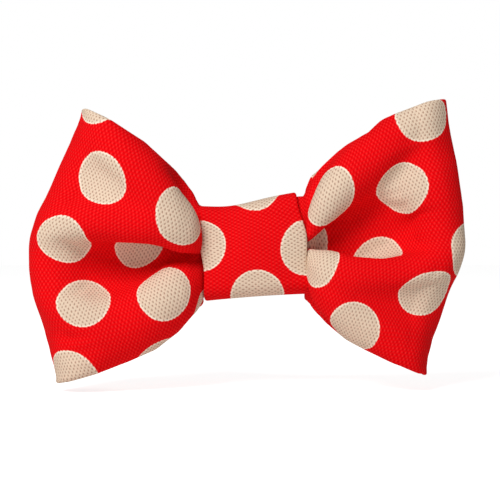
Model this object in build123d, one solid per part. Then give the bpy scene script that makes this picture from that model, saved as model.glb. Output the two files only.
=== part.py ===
"""Clip-on bow tie: a pleated loop of stiffened cloth, a knot band round its waist, and a spring clip.

Frame, in millimetres: +X to the viewer's right, +Y towards the wearer's collar, +Z up.
The origin is the middle of the clip plate's back face, which lies against the collar.
Each sub-part is written to parts/NODE.step as one or more closed solids.
"""

import os
from dataclasses import dataclass
from math import cos, radians, sin

from build123d import *

# --- Cloth: a flattened tube of printed cotton duck round a stiff interlining -------------------
CLOTH = 0.4  # one layer of duck
INTERLINING = 1.0
TUBE = 2 * CLOTH + INTERLINING  # the whole thickness of the tube
EDGE_TURN = 1.2  # how far the interlining stops short of the tube's top and bottom edges

# --- The loop seen from above: a flat back, a front that bulges, and a fold at the outer end ----
WAIST_X = 14.6  # half the width of the gathered waist, all of it inside the knot band
WAIST_Z = 9.8  # half its height
WAIST_CORNER_R = 2.6
FRONT_Y = -8.6  # front of the waist
BACK_Y = -1.6  # back of the waist and of the wings
BULGE = (31.0, -17.0)  # furthest point forward of a wing
FOLD_LENGTH = 3.2  # along X, from where the layers start to turn to the fold itself
FOLD_FRONT_Y, FOLD_Y, FOLD_BACK_Y = -9.5, -6.4, -3.4
FLAT_X = 30.0  # the back of a wing is flat as far as here, so that it clears the clip

# --- Gathering thread and hand stitches --------------------------------------------------------
THREAD_R = 0.25
THREAD_TURNS = 5
JOIN_STITCHES = 6
JOIN_X = 4.0
STITCH_LENGTH = 2.6
SEAM_STITCHES = 9

# --- Knot band: a strip wrapped once round the waist and the clip plate -------------------------
BAND_WIDTH = 27.0
BAND_CLOTH = 0.4
BAND_INTERLINING = 0.7
BAND = 2 * BAND_CLOTH + BAND_INTERLINING
BAND_HALF_HEIGHT = 12.85
BAND_FRONT_Y = -11.2
BAND_BACK_Y = 1.55
BAND_CORNER_R = 4.2
BAND_SLIT = 0.4  # where the two ends of the strip meet, at the back
BAND_TILT = -4.0  # degrees, because the knot is wrapped by hand and sits a little askew

# --- Clip plate --------------------------------------------------------------------------------
SHEET = 0.8  # nickel-plated spring steel
PLATE_HALF_LENGTH = 28.0
PLATE_HALF_HEIGHT = 5.0
PLATE_CORNER_R = 2.0
WAIST_RELIEF = 0.5  # the plate is this much narrower on each side where the band goes round it
WAIST_HALF_LENGTH = 14.0
EAR_HALF_WIDTH = 2.3

# --- Hinges ------------------------------------------------------------------------------------
PIN_X = 17.0
PIN_Y = 2.9
PIN_R = 0.75
PIN_HEAD_R = 1.25
PIN_HEAD = 0.5
PIN_CLEARANCE = 0.05  # radial, between the pin and the jaw
EAR_GAP = 0.1  # between the plate's ears and the jaw's

# --- Jaws: stamped levers, thumb end towards the middle and teeth outwards ----------------------
JAW_INNER_LINE = [(27.2, 1.35), (25.9, 4.1), (21.5, 5.05), (17.0, 5.15), (7.5, 6.9)]
JAW_EAR_R = 1.7
THUMB_CORNER_R = 2.0
TEETH = 5
TOOTH_DEPTH = 0.9

# --- Grip pads: rubber, held by two lugs through the plate --------------------------------------
PAD_X = (20.6, 27.6)
PAD_HALF_HEIGHT = 4.0
PAD = 0.85
PAD_RIB = 0.2
PAD_RIBS = 4
LUG_X = 23.0
LUG_Z = 2.2
LUG_R = 0.8
LUG_HEAD_R = 1.3
LUG_HEAD = 0.35

# --- Torsion springs ---------------------------------------------------------------------------
WIRE_R = 0.22
COIL_R = 1.25
COIL_TURNS = 5.5  # so that one leg leaves below the pin and the other above it
COIL_PITCH = 0.62
PLATE_LEG_END = (14.3, 0.26)
JAW_LEG_END = (10.6, 5.98)

FAR = 100.0  # longer than anything here, for cutting tools


@dataclass(frozen=True)
class Wing:
    """The front view of one wing, as (distance from the middle, height) pairs."""

    fold: tuple  # where the outer fold reaches furthest
    top_tip: tuple
    bottom_tip: tuple
    top_rise: tuple  # a point half way along the curved top edge
    bottom_rise: tuple  # and one along the bottom edge


LEFT_WING = Wing((58.9, -3.0), (43.0, 35.6), (50.0, -34.8), (24.6, 24.2), (25.4, -26.1))
RIGHT_WING = Wing((54.7, -1.0), (49.8, 38.6), (44.5, -32.8), (23.8, 26.6), (23.8, -23.6))


def face_of(*edges):
    """A flat face inside a closed run of edges."""
    return make_face(Curve() + list(edges))


def outline(points):
    """A flat face inside a closed polygon."""
    return make_face(Polyline(*points, close=True))


def along_y(face, y_from, y_to):
    """Extrudes a face drawn in (X, Z) from y_from to y_to."""
    flat = Plane(origin=(0, y_from, 0), x_dir=(1, 0, 0), z_dir=(0, -1, 0)) * face
    return extrude(flat, amount=y_to - y_from, dir=(0, 1, 0))


def along_z(face, half_height):
    """Extrudes a face drawn in (X, Y) the same way up and down."""
    return extrude(face, amount=half_height, both=True)


def along_x(face, half_width):
    """Extrudes a face drawn in (Y, Z) the same way left and right."""
    return extrude(Plane.YZ * face, amount=half_width, both=True)


def waist_section(outset=0.0):
    """The gathered waist seen along X: a rounded rectangle in (Y, Z), grown by outset all round."""
    depth = BACK_Y - FRONT_Y + 2 * outset
    height = 2 * (WAIST_Z + outset)
    return Pos((FRONT_Y + BACK_Y) / 2, 0) * RectangleRounded(depth, height, WAIST_CORNER_R + outset)


def rod(start, end, radius):
    """A round rod between two points."""
    run = Vector(*end) - Vector(*start)
    place = Plane(origin=start, z_dir=run.normalized())
    return extrude(place * Circle(radius), amount=run.length)


def mirrored(shape):
    """The same shape on the other side of the middle."""
    return mirror(shape, about=Plane.YZ)


# ------------------------------------------------------------------------------------- the cloth
def wing_plan(reach, height, inset):
    """The teardrop that a wing shows from above at one height, drawn in by inset all round."""
    front = (WAIST_X + inset, FRONT_Y + inset)
    turn_front = (reach - FOLD_LENGTH, FOLD_FRONT_Y + inset)
    turn_back = (reach - FOLD_LENGTH, FOLD_BACK_Y - inset)
    flat_end = (FLAT_X, BACK_Y - inset)
    back = (WAIST_X + inset, BACK_Y - inset)
    teardrop = face_of(
        ThreePointArc(front, (BULGE[0], BULGE[1] + inset), turn_front),
        ThreePointArc(turn_front, (reach - inset, FOLD_Y), turn_back),
        Line(turn_back, flat_end),
        Line(flat_end, back),
        Line(back, front),
    )
    return Pos(0, 0, height) * teardrop


def wing_front_view(wing, inset):
    """Everything between the wing's curved top and bottom edges, drawn in by inset."""
    top_tip = (wing.top_tip[0], wing.top_tip[1] - inset)
    bottom_tip = (wing.bottom_tip[0], wing.bottom_tip[1] + inset)
    top_root = (WAIST_X, WAIST_Z - inset)
    bottom_root = (WAIST_X, inset - WAIST_Z)
    return face_of(
        ThreePointArc(top_root, (wing.top_rise[0], wing.top_rise[1] - inset), top_tip),
        Polyline(top_tip, (FAR, top_tip[1]), (FAR, bottom_tip[1]), bottom_tip),
        ThreePointArc(bottom_tip, (wing.bottom_rise[0], wing.bottom_rise[1] + inset), bottom_root),
        Line(bottom_root, top_root),
    )


def wing_body(wing, inset, edge_inset=0.0):
    """A whole wing as one block, drawn in by inset and, at its top and bottom edges, by edge_inset."""
    levels = (wing.bottom_tip, wing.fold, wing.top_tip)
    block = loft([wing_plan(reach, height, inset) for reach, height in levels], ruled=True)
    return block & along_y(wing_front_view(wing, edge_inset), -FAR, FAR)


def both_wings(inset, edge_inset=0.0):
    """The left and the right wing, drawn in alike."""
    return mirrored(wing_body(LEFT_WING, inset, edge_inset)), wing_body(RIGHT_WING, inset, edge_inset)


def interlining():
    """The stiff core of the tube: a loop in each wing and a strip through the gathered waist."""
    outer = both_wings(CLOTH, EDGE_TURN)
    inner = both_wings(CLOTH + INTERLINING)
    middle = (FRONT_Y + BACK_Y) / 2
    strip_reach = WAIST_X + CLOTH + INTERLINING / 2
    strip = along_y(
        Rectangle(2 * strip_reach, 2 * (WAIST_Z - EDGE_TURN)),
        middle - INTERLINING / 2,
        middle + INTERLINING / 2,
    )
    return strip + (outer[0] - inner[0]) + (outer[1] - inner[1])


def bow_shell(core):
    """The printed cloth of the bow: one tube folded into a loop and gathered at its waist."""
    waist = along_x(waist_section(), WAIST_X + CLOTH)
    outer = both_wings(0)
    hollows = both_wings(TUBE)
    return waist + outer[0] + outer[1] - hollows[0] - hollows[1] - core


def pinch_thread():
    """The thread wound round the waist to hold the pleats: one ring for each turn."""
    path = (Plane.YZ * waist_section(THREAD_R)).wire()
    start = path.edges().sort_by(Axis.Z)[-1] @ 0.5
    turn = sweep(Plane(origin=start, z_dir=(0, 1, 0)) * Circle(THREAD_R), path=path)
    pitch = 2 * THREAD_R + 0.05
    turns = range(THREAD_TURNS)
    return Compound([Pos((i - (THREAD_TURNS - 1) / 2) * pitch, 0, 0) * turn for i in turns])


def loop_join_stitches():
    """Two rows of stitches through the back of the waist, where the ends of the tube overlap."""
    gap = 2 * (WAIST_Z - 2) / JOIN_STITCHES
    y = BACK_Y + THREAD_R
    rows = []
    for x in (-JOIN_X, JOIN_X):
        for i in range(JOIN_STITCHES):
            z = (i - (JOIN_STITCHES - 1) / 2) * gap
            rows.append(rod((x, y, z - STITCH_LENGTH / 2), (x, y, z + STITCH_LENGTH / 2), THREAD_R))
    return Compound(rows)


# -------------------------------------------------------------------------------------- the knot
def band_section(inset):
    """The band seen along X: a rounded rectangle in (Y, Z), drawn in by inset."""
    depth = BAND_BACK_Y - BAND_FRONT_Y - 2 * inset
    height = 2 * (BAND_HALF_HEIGHT - inset)
    centre = (BAND_BACK_Y + BAND_FRONT_Y) / 2
    return Pos(centre, 0) * RectangleRounded(depth, height, BAND_CORNER_R - inset)


def band_slit():
    """The narrow gap at the back between the two ends of the strip."""
    return Pos(0, BAND_BACK_Y, 0) * Box(FAR, 2 * BAND + 0.2, BAND_SLIT)


def tilted(shape):
    """Turned a little about Y, as the knot sits."""
    return Rot(0, BAND_TILT, 0) * shape


def knot_interlining():
    """The stiff core of the knot band, a little narrower than the band."""
    ring = band_section(BAND_CLOTH) - band_section(BAND_CLOTH + BAND_INTERLINING)
    return tilted(along_x(ring, BAND_WIDTH / 2 - EDGE_TURN) - band_slit())


def knot_band(core):
    """The printed strip round the waist, with its ends meeting at the back."""
    ring = band_section(0) - band_section(BAND)
    return tilted(along_x(ring, BAND_WIDTH / 2) - band_slit()) - core


def knot_seam_stitches():
    """Hand stitches across the slit that close the band at the back."""
    y = BAND_BACK_Y + THREAD_R
    pitch = BAND_WIDTH / (SEAM_STITCHES + 1)
    half = STITCH_LENGTH / 2
    stitches = []
    for i in range(SEAM_STITCHES):
        x = (i - (SEAM_STITCHES - 1) / 2) * pitch
        stitches.append(rod((x - 0.4, y, -half), (x + 0.4, y, half), THREAD_R))
    return tilted(Compound(stitches))


# -------------------------------------------------------------------------------------- the clip
def ear(half_width, z_inner, base_y):
    """An upright ear of sheet round a hinge's axis, in (X, Y), above and below the middle."""
    flat = Pos(PIN_X, PIN_Y) * Circle(half_width)
    foot = Pos(PIN_X, (PIN_Y + base_y) / 2) * Rectangle(2 * half_width, abs(PIN_Y - base_y))
    upper = Pos(0, 0, z_inner) * extrude(flat + foot, amount=SHEET)
    return upper + mirror(upper, about=Plane.XY)


def hinge_axis_rod(radius, half_length):
    """A round rod on the right hinge's axis."""
    return Pos(PIN_X, PIN_Y, 0) * Cylinder(radius, 2 * half_length)


def lug_places():
    """Where the pads' lugs go through the right end of the plate."""
    return [(LUG_X, LUG_Z), (LUG_X, -LUG_Z)]


def clip_base():
    """The plate that the band holds: two ends with ears for the hinges, and a narrower middle."""
    blank = RectangleRounded(2 * PLATE_HALF_LENGTH, 2 * PLATE_HALF_HEIGHT, PLATE_CORNER_R)
    for z in (PLATE_HALF_HEIGHT, -PLATE_HALF_HEIGHT):
        blank -= Pos(0, z) * Rectangle(2 * WAIST_HALF_LENGTH, 2 * WAIST_RELIEF)
    plate = along_y(blank, -SHEET, 0)
    ears = ear(EAR_HALF_WIDTH, PLATE_HALF_HEIGHT - SHEET, 0) - hinge_axis_rod(PIN_R, FAR)
    holes = [along_y(Pos(x, z) * Circle(LUG_R), -FAR, FAR) for x, z in lug_places()]
    for right in holes:
        plate = plate - right - mirrored(right)
    return plate + ears + mirrored(ears)


def hinge_pin():
    """The right hinge's rivet pin, with a head at each end outside the plate's ears."""
    shank = hinge_axis_rod(PIN_R, PLATE_HALF_HEIGHT + PIN_HEAD)
    middle = PLATE_HALF_HEIGHT + PIN_HEAD / 2
    head = Pos(PIN_X, PIN_Y, middle) * Cylinder(PIN_HEAD_R, PIN_HEAD)
    head = fillet(head.edges().group_by(Axis.Z)[-1], 0.3)
    return shank + head + mirror(head, about=Plane.XY)


def jaw_height():
    """Half the height of a jaw, which turns between the plate's ears."""
    return PLATE_HALF_HEIGHT - SHEET - EAR_GAP


def bent_strip(points, thickness):
    """The side view of a strip of sheet laid on the outer side of a bent line."""
    return make_face(offset(Polyline(*points), amount=thickness, side=Side.RIGHT))


def jaw():
    """The right jaw: a bent lever with ears on the pin and teeth at its outer end."""
    lever = along_z(bent_strip(JAW_INNER_LINE, SHEET), jaw_height())
    lever = fillet(lever.faces().sort_by(Axis.X)[0].edges().filter_by(Axis.Z, reverse=True), THUMB_CORNER_R)
    web_y = JAW_INNER_LINE[3][1] + SHEET / 2
    ears = ear(JAW_EAR_R, jaw_height() - SHEET, web_y)
    tooth_pitch = 2 * jaw_height() / TEETH
    tip_x, tip_y = JAW_INNER_LINE[0]
    notch = outline([(-tooth_pitch / 2, 0), (tooth_pitch / 2, 0), (0, TOOTH_DEPTH)])
    for i in range(TEETH + 1):
        z = (i - TEETH / 2) * tooth_pitch
        cut = Plane(origin=(tip_x, tip_y - 0.01, z), x_dir=(0, 0, 1), z_dir=(-1, 0, 0)) * notch
        lever -= extrude(cut, amount=3, both=True)
    return lever + ears - hinge_axis_rod(PIN_R + PIN_CLEARANCE, FAR)


def grip_pad():
    """The right rubber pad on the plate, ribbed where the collar is held, with its two lugs."""
    length = PAD_X[1] - PAD_X[0]
    centre = sum(PAD_X) / 2
    pad = along_y(Pos(centre, 0) * RectangleRounded(length, 2 * PAD_HALF_HEIGHT, 1.2), 0, PAD - PAD_RIB)
    pitch = length / (PAD_RIBS + 1)
    for i in range(PAD_RIBS):
        x = PAD_X[0] + (i + 1) * pitch
        pad += Pos(x, PAD - PAD_RIB, 0) * Cylinder(PAD_RIB, 2 * PAD_HALF_HEIGHT - 2)
    for x, z in lug_places():
        pad += along_y(Pos(x, z) * Circle(LUG_R), -SHEET, 0)
        pad += along_y(Pos(x, z) * Circle(LUG_HEAD_R), -SHEET - LUG_HEAD, -SHEET)
    return pad


def spring():
    """The right torsion spring: a coil on the pin, one leg on the plate and one under the lever."""
    height = COIL_TURNS * COIL_PITCH
    low, high = -height / 2, height / 2
    path = Helix(COIL_PITCH, height, COIL_R)
    wire_end = Plane(origin=path @ 0, z_dir=path % 0) * Circle(WIRE_R)
    coil = Pos(PIN_X, PIN_Y, low) * (Rot(0, 0, 270) * sweep(wire_end, path=path, is_frenet=True))
    bottom = (PIN_X, PIN_Y - COIL_R, low)
    top = (PIN_X, PIN_Y + COIL_R, high)
    plate_leg = rod(bottom, (*PLATE_LEG_END, low), WIRE_R)
    jaw_leg = rod(top, (*JAW_LEG_END, high), WIRE_R)
    elbows = Pos(*bottom) * Sphere(WIRE_R) + Pos(*top) * Sphere(WIRE_R)
    return coil + elbows + plate_leg + jaw_leg


def write(node, shape):
    """Writes one sub-part to parts/NODE.step."""
    export_step(Compound(list(shape.solids())), f"parts/{node}.step")


def main():
    """Builds every sub-part and writes it."""
    os.makedirs("parts", exist_ok=True)
    core = interlining()
    band_core = knot_interlining()
    write("bow_interlining", core)
    write("bow_shell", bow_shell(core))
    write("pinch_thread", pinch_thread())
    write("loop_join_stitches", loop_join_stitches())
    write("knot_interlining", band_core)
    write("knot_band", knot_band(band_core))
    write("knot_seam_stitches", knot_seam_stitches())
    write("clip_base", clip_base())
    pairs = {"jaw": jaw(), "hinge_pin": hinge_pin(), "spring": spring(), "grip_pad": grip_pad()}
    for name, right in pairs.items():
        write(f"right_{name}", right)
        write(f"left_{name}", mirrored(right))


main()
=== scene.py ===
"""Clip-on bow tie of red cotton duck with cream dots: its looks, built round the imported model.

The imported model's frame holds here too: +X to the viewer's right, +Y towards the wearer's collar,
+Z up, and the origin in the middle of the clip plate's back face. Cloth is worked out in
millimetres and put into the meshes in metres.
"""

import logging
import math
from dataclasses import dataclass, field
from enum import Enum

import bpy
import numpy as np
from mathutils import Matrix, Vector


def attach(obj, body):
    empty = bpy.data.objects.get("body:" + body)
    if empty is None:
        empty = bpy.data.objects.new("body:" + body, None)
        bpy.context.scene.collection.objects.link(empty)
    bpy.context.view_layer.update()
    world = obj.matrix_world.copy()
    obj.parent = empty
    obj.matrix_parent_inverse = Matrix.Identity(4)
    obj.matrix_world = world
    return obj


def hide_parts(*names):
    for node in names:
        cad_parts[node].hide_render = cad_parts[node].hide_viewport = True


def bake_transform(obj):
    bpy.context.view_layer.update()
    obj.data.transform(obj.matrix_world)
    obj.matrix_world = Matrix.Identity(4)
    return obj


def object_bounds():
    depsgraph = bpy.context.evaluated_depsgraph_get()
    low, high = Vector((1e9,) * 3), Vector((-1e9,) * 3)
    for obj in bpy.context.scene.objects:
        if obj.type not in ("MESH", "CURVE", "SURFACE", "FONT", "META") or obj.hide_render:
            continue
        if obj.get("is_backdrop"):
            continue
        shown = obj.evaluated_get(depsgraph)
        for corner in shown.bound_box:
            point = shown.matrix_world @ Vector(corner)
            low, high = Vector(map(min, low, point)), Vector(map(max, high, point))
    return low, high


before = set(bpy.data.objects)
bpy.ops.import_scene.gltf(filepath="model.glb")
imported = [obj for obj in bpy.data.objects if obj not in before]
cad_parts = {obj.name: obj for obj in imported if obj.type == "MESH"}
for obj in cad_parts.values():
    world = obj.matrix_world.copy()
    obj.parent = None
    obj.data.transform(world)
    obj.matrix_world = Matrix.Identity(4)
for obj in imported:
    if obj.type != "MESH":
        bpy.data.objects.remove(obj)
CAD_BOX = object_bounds()

MM = 0.001
BODY = "bow"  # the body that all the cloth rides on
log = logging.getLogger("bow_tie")

CUBE_SHIFT = 200  # keeps the cubes' numbers above 0, for cloth within 200 thicknesses of the origin
CUBE_SPAN = 1024  # more cubes than lie along any axis, so that each cube gets its own key

Points = tuple[tuple[float, ...], ...]


class Side(Enum):
    """The side of the knot that a wing is on, as the sign of its X."""

    LEFT = -1
    RIGHT = 1


class Layer(Enum):
    """The layer of a wing that a guide acts on, as seen by the viewer."""

    FRONT = "front"
    BACK = "back"


# ---------------------------------------------------------------------------------- smooth curves
def flowing(points: np.ndarray, share: np.ndarray) -> np.ndarray:
    """Points on a smooth curve through evenly numbered ones.

    Formula: a Catmull-Rom cubic on each span, whose slope at a point is half the step between
    that point's neighbours. The row of points is continued in a straight line at both ends.

    Args:
        points: the points passed through, along the first axis.
        share: where to read the curve, counted in spans from the first point.

    Returns:
        The points on the curve, along the first axis.
    """
    row = np.concatenate([2 * points[:1] - points[1:2], points, 2 * points[-1:] - points[-2:-1]])
    span = np.clip(share.astype(int), 0, len(points) - 2)
    u = (share - span).reshape((-1,) + (1,) * (points.ndim - 1))
    a, b, c, d = (row[span + k] for k in range(4))
    cubic = (3 * b - a - 3 * c + d) * u**3 + (2 * a - 5 * b + 4 * c - d) * u**2
    return 0.5 * (cubic + (c - a) * u + 2 * b)


def evenly(points: Points, count: int) -> np.ndarray:
    """Points spaced evenly, by arc length, along the smooth curve through the given ones.

    Args:
        points: the points passed through.
        count: how many points to return.

    Returns:
        An array of count points.
    """
    corners = np.array(points, float)
    dense = flowing(corners, np.linspace(0, len(corners) - 1, 24 * len(corners)))
    run = np.append(0, np.cumsum(np.linalg.norm(np.diff(dense, axis=0), axis=1)))
    at = np.linspace(0, run[-1], count)
    return np.column_stack([np.interp(at, run, axis) for axis in dense.T])


def read_at(points: Points, at: np.ndarray) -> np.ndarray:
    """Reads the smooth curve through (t, y, z) points at the given values of t.

    Args:
        points: the points passed through, with t rising or falling all the way.
        at: the values of t to read.

    Returns:
        One (y, z) pair for each value.
    """
    corners = np.array(points, float)
    dense = flowing(corners, np.linspace(0, len(corners) - 1, 24 * len(corners)))
    rising = np.argsort(dense[:, 0])
    return np.column_stack([np.interp(at, dense[rising, 0], dense[rising, k]) for k in (1, 2)])


def eased(share: np.ndarray) -> np.ndarray:
    """A smooth step from 0 to 1 as share goes from 0 to 1: three squares less two cubes."""
    inside = np.clip(share, 0, 1)
    return inside * inside * (3 - 2 * inside)


# ---------------------------------------------------------------------------------------- meshes
@dataclass
class Skin:
    """A closed skin round a sheet: its outer side, its inner side and its two rounded edges.

    The sheet is a grid that closes on itself along its rows. Both UV maps are in millimetres:
    "cloth" is the place on the flat cloth, and "dots" is the way from the nearest dot's middle.
    """

    places: np.ndarray  # [row, round, xyz], in millimetres
    along: np.ndarray  # the length along the cloth at each row, with one more for the closing row
    across: np.ndarray  # the place across the cloth at each point round the section
    outer_points: int  # how many of the points round the section are on the outer side

    def corners(self) -> tuple[np.ndarray, np.ndarray]:
        """The row and the round number of each face's four corners, in order, not wrapped."""
        rows, rounds = np.meshgrid(*map(np.arange, self.places.shape[:2]), indexing="ij")
        row = np.stack([rows, rows, rows + 1, rows + 1], axis=-1).reshape(-1, 4)
        turn = np.stack([rounds, rounds + 1, rounds + 1, rounds], axis=-1).reshape(-1, 4)
        return row, turn

    def mesh(self, name: str, dots: "DotPrint | None" = None) -> bpy.types.Object:
        """Puts the skin into a new object.

        Args:
            name: the piece's name.
            dots: the print on the cloth, or None on plain cloth.

        Returns:
            The new object, with its place in its mesh.
        """
        count, section = self.places.shape[:2]
        row, turn = self.corners()
        faces = (row % count) * section + turn % section
        cloth = np.stack([self.along[row], np.append(self.across, self.across[0])[turn]], axis=-1)
        maps = {"cloth": cloth}
        if dots is not None:
            first = turn.min(axis=1)
            inner_start = (section - 2 * self.outer_points) // 2 + self.outer_points
            inner = (first >= inner_start) & (first < inner_start + self.outer_points - 1)
            maps["dots"] = dots.offsets(cloth, ~inner)
        return new_piece(name, self.places.reshape(-1, 3), faces, maps)


def new_piece(name: str, places: np.ndarray, faces: np.ndarray, maps: dict) -> bpy.types.Object:
    """Makes a smooth-shaded mesh object.

    Args:
        name: the piece's name.
        places: its points, in millimetres.
        faces: the point numbers of its four-cornered faces.
        maps: a UV map, as [face, corner, uv], for each map's name.

    Returns:
        The new object, at the origin.
    """
    data = bpy.data.meshes.new(name)
    data.from_pydata((places * MM).tolist(), [], faces.tolist())
    for map_name, corners in maps.items():
        layer = data.uv_layers.new(name=map_name)
        layer.data.foreach_set("uv", corners.reshape(-1).astype(np.float32))
    data.polygons.foreach_set("use_smooth", np.ones(len(faces), bool))
    data.validate()
    piece = bpy.data.objects.new(name, data)
    bpy.context.scene.collection.objects.link(piece)
    return piece


def sheet_normals(middle: np.ndarray) -> np.ndarray:
    """Outward normals of a sheet that closes on itself along its rows.

    Formula: the cross product of the step across the sheet with the step along it, where each
    step is taken between the two neighbours.
    """
    along = np.roll(middle, -1, axis=0) - np.roll(middle, 1, axis=0)
    across = np.gradient(middle, axis=1)
    normal = np.cross(across, along)
    return normal / np.maximum(np.linalg.norm(normal, axis=2, keepdims=True), 1e-9)


def skin_of(middle: np.ndarray, along: np.ndarray, across: np.ndarray, thickness: float) -> Skin:
    """Wraps a sheet's middle surface in a skin with half-round edges.

    Formula: the outer side is half a thickness out along the normal and the inner side half a
    thickness in. An edge's points go from one to the other on a half circle that bulges away
    from the sheet, in the plane of the normal and the step across the sheet.

    Args:
        middle: the middle surface, [row, column, xyz].
        along: the length along the cloth at each row, with one more for the closing row.
        across: the place across the cloth at each column.
        thickness: the whole thickness.

    Returns:
        The skin, whose section starts at the first column of the outer side.
    """
    half = thickness / 2
    normal = sheet_normals(middle)
    turn = np.radians([30.0, 60.0, 90.0, 120.0, 150.0])[None, :, None]

    def edge(column: int, inner: int) -> np.ndarray:
        """The half circle at one edge, from the outer side to the inner side."""
        away = middle[:, column] - middle[:, inner]
        away /= np.linalg.norm(away, axis=1, keepdims=True)
        out = normal[:, column, None] * np.cos(turn) + away[:, None] * np.sin(turn)
        return middle[:, column, None] + half * out

    outer, inner = middle + half * normal, middle - half * normal
    places = np.concatenate([outer, edge(-1, -2), inner[:, ::-1], edge(0, 1)[:, ::-1]], axis=1)
    lip = half * np.minimum(turn.ravel(), math.pi - turn.ravel()) * np.sign(across[-1] - across[0])
    rounds = np.concatenate([across, across[-1] + lip, across[::-1], across[0] - lip])
    return Skin(places, along, rounds, len(across))


# ---------------------------------------------------------------------------------------- colours
def linear(colour: str) -> tuple[float, float, float, float]:
    """Turns an sRGB hex colour into the linear one that a shader takes.

    Args:
        colour: six hex digits after a hash sign.

    Returns:
        Red, green, blue and an alpha of 1.
    """
    channels = [int(colour[k : k + 2], 16) / 255 for k in (1, 3, 5)]
    bright = [c / 12.92 if c <= 0.04045 else ((c + 0.055) / 1.055) ** 2.4 for c in channels]
    return (*bright, 1.0)


def add_node(
    tree: bpy.types.NodeTree,
    kind: str,
    settings: dict | None = None,
    inputs: dict | None = None,
) -> bpy.types.Node:
    """Adds a node, sets its properties, and sets or links its inputs.

    Args:
        tree: the node tree that gets the node.
        kind: the node's type, as Blender names it.
        settings: the node's own properties, by name.
        inputs: a value, or an output socket to link from, for each input's name or number.

    Returns:
        The new node.
    """
    node = tree.nodes.new(kind)
    for name, value in (settings or {}).items():
        setattr(node, name, value)
    for name, value in (inputs or {}).items():
        if isinstance(value, bpy.types.NodeSocket):
            tree.links.new(value, node.inputs[name])
        else:
            node.inputs[name].default_value = value
    return node


def new_material(name: str) -> tuple[bpy.types.Material, bpy.types.NodeTree, bpy.types.Node]:
    """Makes a material with an empty tree and its output node.

    Args:
        name: the material's name.

    Returns:
        The material, its node tree and its output node.
    """
    material = bpy.data.materials.new(name)
    material.use_nodes = True
    material.node_tree.nodes.clear()
    output = add_node(material.node_tree, "ShaderNodeOutputMaterial")
    return material, material.node_tree, output


def dress(piece: bpy.types.Object, material: bpy.types.Material, slot: str) -> None:
    """Gives a piece one material."""
    if piece.data.materials:
        for number in range(len(piece.data.materials)):
            piece.data.materials[number] = material
    else:
        piece.data.materials.append(material)


# --------------------------------------------------------------------------------------- finishes
@dataclass(frozen=True)
class DotPrint:
    """Round dots printed on cloth, as their middles on the flat cloth in millimetres.

    The dots lie on a square lattice that stands on its corner, so every second place of a
    straight grid holds one. Gathered and pleated cloth shows them where the chosen middles say.
    """

    chosen: tuple[tuple[float, float], ...]
    origin: tuple[float, float]  # the middle of one dot of the lattice
    loop_length: float
    half_width: float
    spacing: float = 13.9  # half the diagonal of the lattice's square
    clearance: float = 17.0  # how near a lattice dot may come to a chosen one
    free_from: float = -math.inf  # lattice dots lie between these two lengths along the cloth
    free_to: float = math.inf

    def lattice(self) -> np.ndarray:
        """The lattice dots on the cloth that clear every chosen one, as [dot, (along, across)]."""
        reach = int(self.loop_length / self.spacing) + 2
        a, b = np.meshgrid(np.arange(-reach, reach), np.arange(-reach, reach))
        spots = np.stack([a, b], axis=-1)[(a + b) % 2 == 0] * self.spacing + self.origin
        on_cloth = (np.abs(spots[:, 1]) < self.half_width + self.spacing) & (
            (spots[:, 0] > max(self.free_from, -self.spacing))
            & (spots[:, 0] < min(self.free_to, self.loop_length + self.spacing))
        )
        spots = spots[on_cloth]
        if not self.chosen:
            return spots
        gap = np.linalg.norm(spots[:, None] - np.array(self.chosen)[None], axis=2).min(axis=1)
        return spots[gap > self.clearance]

    def offsets(self, cloth: np.ndarray, outer: np.ndarray) -> np.ndarray:
        """The way to each face corner from the middle of the dot that is nearest to the face.

        Args:
            cloth: the place on the cloth of each face's corners, [face, corner, (along, across)].
            outer: whether each face is on the cloth's outer side.

        Returns:
            The offsets, [face, corner, (along, across)], in millimetres.
        """
        spots = np.concatenate([np.array(self.chosen, float).reshape(-1, 2), self.lattice()])
        middle = cloth.mean(axis=1)
        shown = middle + np.where(outer, 0, self.spacing)[:, None] * [1, 0]
        nearest = np.linalg.norm(shown[:, None] - spots[None], axis=2).argmin(axis=1)
        return cloth + (shown - middle)[:, None] - spots[nearest][:, None]


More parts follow.
